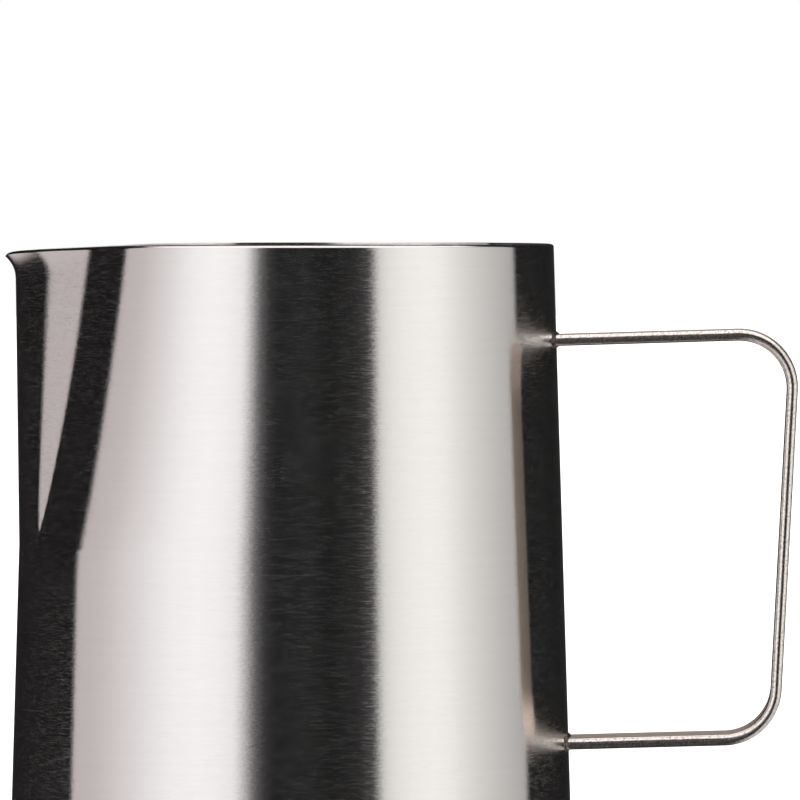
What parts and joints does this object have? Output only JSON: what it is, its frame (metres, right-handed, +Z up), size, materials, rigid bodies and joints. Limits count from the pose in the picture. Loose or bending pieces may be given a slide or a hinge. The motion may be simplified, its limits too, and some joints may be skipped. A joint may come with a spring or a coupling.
{
  "type": "milk frothing pitcher",
  "caption": "Open brushed-steel milk jug with a tapered round wall, a pressed pouring spout opposite a flat strap handle, and a flat base",
  "frame": {"origin": "centre of the base underside, on the axis of the round wall", "axes": "+Z up along the cup's axis, +X towards the handle, -X towards the spout, Y across"},
  "size_m": [0.1321, 0.0936, 0.11],
  "materials": {
    "cup_steel": "fine circumferential brushing outside, satin inside",
    "strap_steel": "tumbled and polished strip with rounded edges",
    "weld_metal": "as-welded bead with brown heat tint"
  },
  "bodies": {
    "root": {"body_shell": "cup_steel", "handle_strap": "strap_steel", "upper_weld_bead": "weld_metal", "lower_weld_bead": "weld_metal"}
  },
  "joints": []
}
